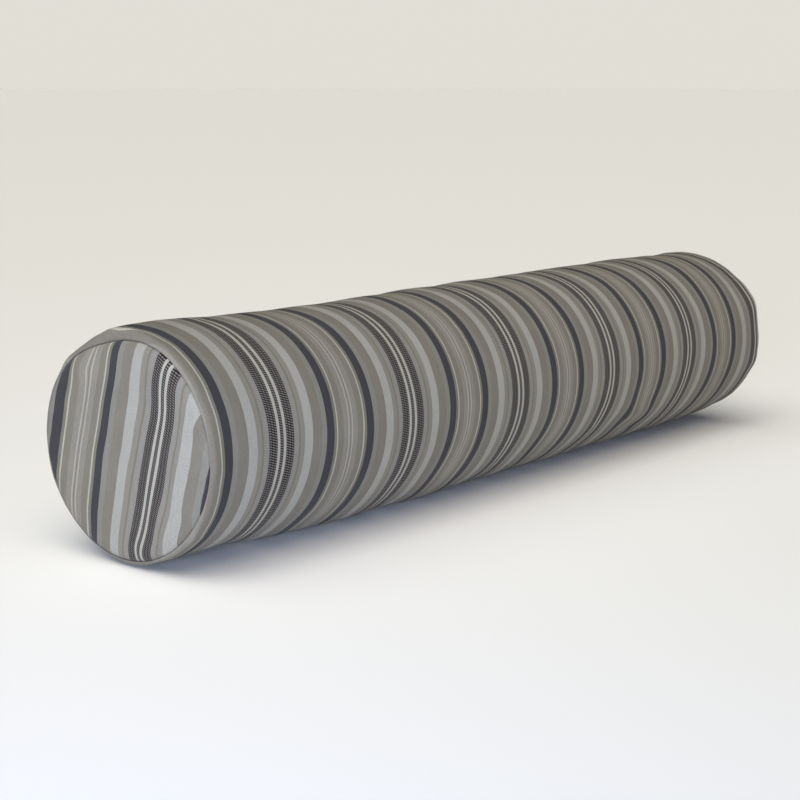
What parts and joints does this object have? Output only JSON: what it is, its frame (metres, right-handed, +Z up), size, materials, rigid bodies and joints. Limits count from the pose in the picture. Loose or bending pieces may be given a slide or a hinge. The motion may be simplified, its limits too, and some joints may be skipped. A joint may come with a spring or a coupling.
{
  "type": "outdoor bolster",
  "caption": "Long round filled bolster of woven striped outdoor cloth, with a flat sewn panel at each end.",
  "frame": {"origin": "on the surface it lies on, under the middle of its bounding box", "axes": "+X along the bolster, from the near end to the far end; +Z up"},
  "size_m": [0.9212, 0.228, 0.2136],
  "materials": {
    "tube_cloth": "matt woven outdoor cloth, warp stripes in greys, taupe, charcoal and cream running round the tube",
    "end_cloth": "the same matt striped cloth, its stripes upright and leaning a little"
  },
  "bodies": {
    "root": {"tube_panel": "tube_cloth", "near_end_panel": "end_cloth", "far_end_panel": "end_cloth"}
  },
  "joints": []
}
